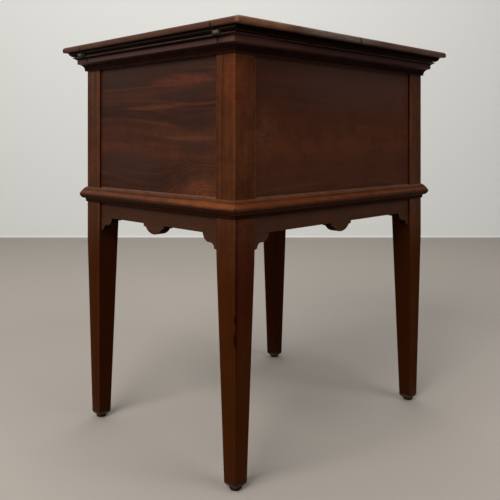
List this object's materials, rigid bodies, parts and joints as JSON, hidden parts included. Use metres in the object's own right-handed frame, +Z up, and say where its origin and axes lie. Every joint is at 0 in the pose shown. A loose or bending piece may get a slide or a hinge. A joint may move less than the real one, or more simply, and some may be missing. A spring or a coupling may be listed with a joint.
{
  "type": "cellarette",
  "caption": "Square-legged mahogany drinks cabinet whose top folds out in two leaves while a fitted tray for decanters and glasses rises from the case.",
  "frame": {"origin": "on the floor, under the centre of the plan", "axes": "+X across the front to the right leaf, +Y to the back, +Z up"},
  "size_m": [0.634, 0.5282, 0.7635],
  "materials": {
    "post_mahogany": "French polished mahogany, grain upright",
    "panel_mahogany": "French polished figured mahogany, grain level",
    "apron_mahogany": "French polished mahogany, grain level",
    "moulding_mahogany": "French polished mahogany moulding",
    "top_mahogany": "French polished mahogany, worn edges",
    "rail_mahogany": "French polished mahogany moulding",
    "lining_mahogany": "polished mahogany veneer",
    "tray_mahogany": "satin polished mahogany",
    "bottom_pine": "stained softwood",
    "brass": "aged, dull",
    "glide_steel": "dark, worn"
  },
  "bodies": {
    "carcase": {"apron_back": "apron_mahogany", "apron_front": "apron_mahogany", "apron_left": "apron_mahogany", "apron_right": "apron_mahogany", "bottom_board": "bottom_pine", "corner_brackets_back": "apron_mahogany", "corner_brackets_front": "apron_mahogany", "corner_brackets_left": "apron_mahogany", "corner_brackets_right": "apron_mahogany", "cornice_back": "moulding_mahogany", "cornice_front": "moulding_mahogany", "cornice_left": "moulding_mahogany", "cornice_right": "moulding_mahogany", "glide_back_left": "glide_steel", "glide_back_right": "glide_steel", "glide_front_left": "glide_steel", "glide_front_right": "glide_steel", "hinge_case_plates": "brass", "hinge_pins": "brass", "leg_back_left": "post_mahogany", "leg_back_right": "post_mahogany", "leg_front_left": "post_mahogany", "leg_front_right": "post_mahogany", "lift_tubes": "brass", "panel_back": "panel_mahogany", "panel_front": "panel_mahogany", "panel_left": "panel_mahogany", "panel_right": "panel_mahogany", "waist_moulding_back": "moulding_mahogany", "waist_moulding_front": "moulding_mahogany", "waist_moulding_left": "moulding_mahogany", "waist_moulding_right": "moulding_mahogany"},
    "leaf_left": {"hinge_leaf_plates_left": "brass", "leaf_lining_left": "lining_mahogany", "lid_rail_left_back": "rail_mahogany", "lid_rail_left_front": "rail_mahogany", "lid_rail_left_hinge": "rail_mahogany", "meeting_rail_left": "rail_mahogany", "top_board_left": "top_mahogany"},
    "leaf_right": {"hinge_leaf_plates_right": "brass", "leaf_lining_right": "lining_mahogany", "lid_rail_right_back": "rail_mahogany", "lid_rail_right_front": "rail_mahogany", "lid_rail_right_hinge": "rail_mahogany", "meeting_rail_right": "rail_mahogany", "top_board_right": "top_mahogany"},
    "tray": {"bay_divider_left": "tray_mahogany", "bay_divider_right": "tray_mahogany", "centre_divider": "tray_mahogany", "cross_dividers": "tray_mahogany", "glass_rack_left": "tray_mahogany", "glass_rack_right": "tray_mahogany", "lift_brackets": "brass", "lift_rods": "brass", "tray_floor": "tray_mahogany", "tray_wall_back": "tray_mahogany", "tray_wall_front": "tray_mahogany", "tray_wall_left": "tray_mahogany", "tray_wall_right": "tray_mahogany"}
  },
  "joints": [
    {"name": "leaf_left_fold", "type": "hinge", "parent": "carcase", "child": "leaf_left", "pos_m": [-0.3096, 0, 0.7435], "axis": [0, -1, 0], "range_deg": [0, 180]},
    {"name": "leaf_right_fold", "type": "hinge", "parent": "carcase", "child": "leaf_right", "pos_m": [0.3096, 0, 0.7435], "axis": [0, 1, 0], "range_deg": [0, 180]},
    {"name": "tray_rise", "type": "slide", "parent": "carcase", "child": "tray", "axis": [0, 0, 1], "range_m": [0, 0.19]}
  ],
  "couplings": [
    {"joint": "leaf_right_fold", "follows": "leaf_left_fold", "ratio": 1},
    {"joint": "tray_rise", "follows": "leaf_left_fold", "m_per_rad": 0.06047}
  ]
}
